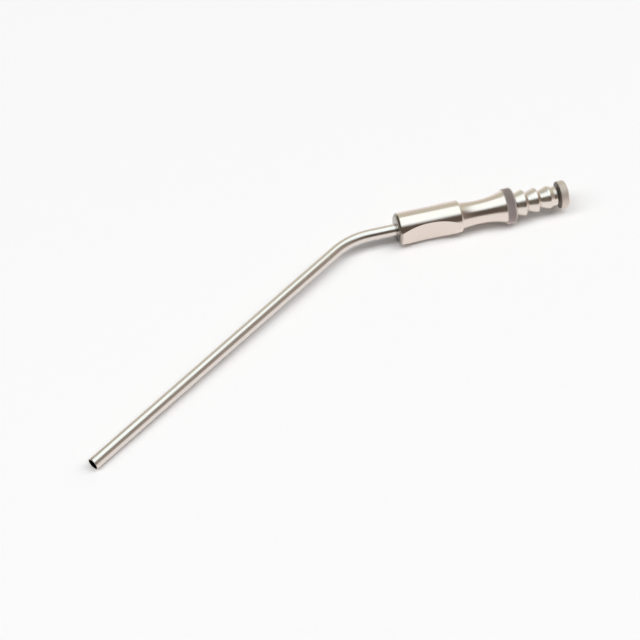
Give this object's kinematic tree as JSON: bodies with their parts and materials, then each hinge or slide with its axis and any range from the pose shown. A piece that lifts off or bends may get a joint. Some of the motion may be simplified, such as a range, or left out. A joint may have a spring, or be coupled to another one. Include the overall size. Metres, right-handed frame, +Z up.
{
  "type": "frazier suction tube",
  "caption": "Bent steel suction tube with a turned, finger-scalloped handle, a knurled hose nozzle and a stylet pushed in from behind.",
  "frame": {"origin": "on the table that the instrument lies on, below the middle of its outer box", "axes": "+X along the handle towards the hose end, which rises by 0.8 degrees; +Z up from the table; the tube bends towards -X and -Y, down to the table"},
  "size_m": [0.1738, 0.0712, 0.0119],
  "materials": {
    "tube_steel": "polished stainless steel tube",
    "handle_steel": "finely turned, satin polished stainless steel",
    "nozzle_steel": "turned stainless steel with a knurled collar",
    "head_steel": "matte turned stainless steel",
    "wire_steel": "bright drawn spring steel wire"
  },
  "bodies": {
    "instrument": {"suction_tube": "tube_steel", "handle": "handle_steel", "hose_nozzle": "nozzle_steel"},
    "stylet": {"stylet_head": "head_steel", "stylet_wire": "wire_steel"}
  },
  "joints": [
    {"name": "stylet_draw", "type": "slide", "parent": "instrument", "child": "stylet", "axis": [0.9999, 0, 0.0138], "range_m": [0, 0.045], "deforming": ["stylet_wire"]}
  ]
}
